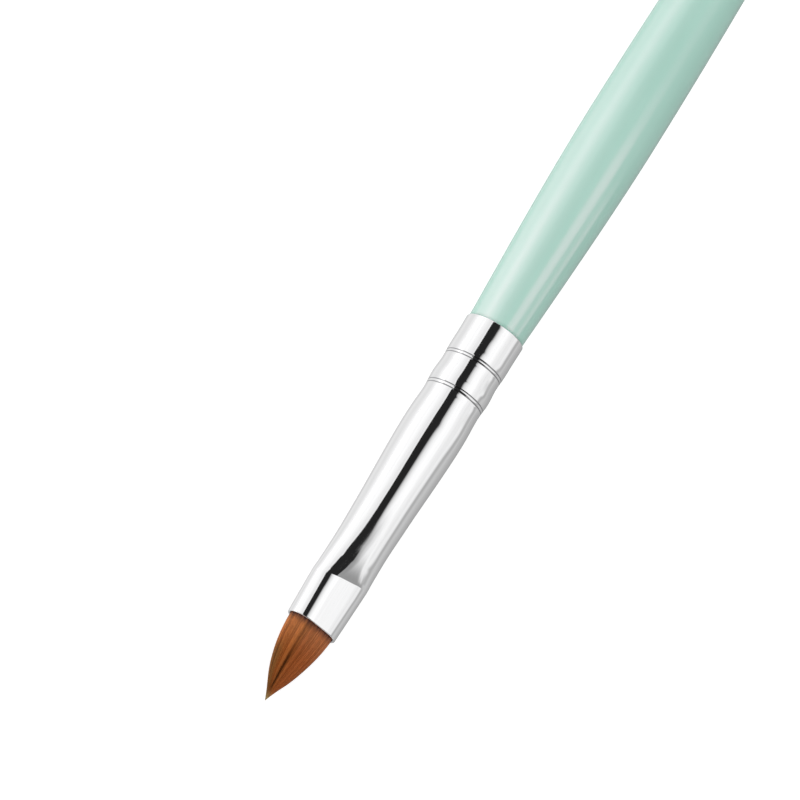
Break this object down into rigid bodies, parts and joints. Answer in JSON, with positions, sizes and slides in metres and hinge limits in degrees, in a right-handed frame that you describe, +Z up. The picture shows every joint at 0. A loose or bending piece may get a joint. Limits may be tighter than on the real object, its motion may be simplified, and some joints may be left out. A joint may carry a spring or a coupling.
{
  "type": "acrylic nail brush",
  "caption": "Nail brush with a turned, lacquered wooden handle, a bright metal ferrule pressed flat at the front, and a pointed petal tuft of hair that bends and springs back.",
  "frame": {"origin": "below the middle of the brush, at the level of the handle belly's lowest point", "axes": "+X along the brush towards the tip of the hair, +Z up, the pressed flats of the ferrule facing +Z and -Z"},
  "size_m": [0.176, 0.009, 0.0089],
  "materials": {
    "handle_lacquer": "smooth glossy mint green lacquer over turned wood",
    "ferrule_metal": "mirror-bright plated tube",
    "adhesive": "cured clear adhesive",
    "resin": "cured amber resin",
    "thread": "waxed thread",
    "hair": "amber brown hair, satin"
  },
  "bodies": {
    "body": {"handle": "handle_lacquer", "ferrule": "ferrule_metal", "tenon_glue": "adhesive", "root_plug": "resin", "binding_thread": "thread", "tuft_root": "hair"},
    "tuft": {"lock_left": "hair", "lock_right": "hair"}
  },
  "joints": [
    {"name": "tuft_bend", "type": "hinge", "parent": "body", "child": "tuft", "pos_m": [0.078, 0, 0.00447], "axis": [0, 1, 0], "range_deg": [-30, 30], "stiffness_Nm_per_rad": 0.006}
  ]
}
